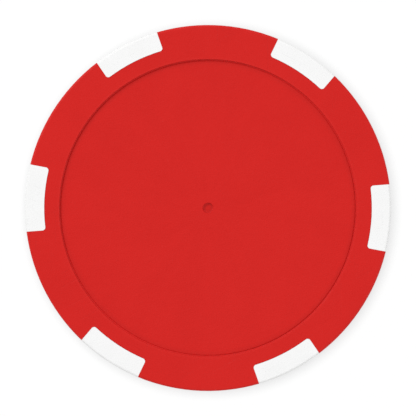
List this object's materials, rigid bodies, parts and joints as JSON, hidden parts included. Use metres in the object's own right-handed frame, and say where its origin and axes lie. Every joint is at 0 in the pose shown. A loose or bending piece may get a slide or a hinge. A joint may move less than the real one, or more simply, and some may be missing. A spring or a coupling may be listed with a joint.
{
  "type": "poker chip",
  "caption": "Round weighted gaming chip: two welded plastic halves around a steel disc, with white inserts through the rim and a shallow label recess in each face.",
  "frame": {"origin": "centre of the underside, on the surface that the chip lies on", "axes": "+Z is the chip's axis and points up out of the upper face, +X goes through the middle of the first edge insert"},
  "size_m": [0.039, 0.039, 0.0033],
  "materials": {
    "red_plastic": "satin",
    "white_plastic": "satin",
    "steel": "satin"
  },
  "bodies": {
    "root": {"upper_shell": "red_plastic", "lower_shell": "red_plastic", "weight_disc": "steel", "edge_insert_1": "white_plastic", "edge_insert_2": "white_plastic", "edge_insert_3": "white_plastic", "edge_insert_4": "white_plastic", "edge_insert_5": "white_plastic", "edge_insert_6": "white_plastic"}
  },
  "joints": []
}
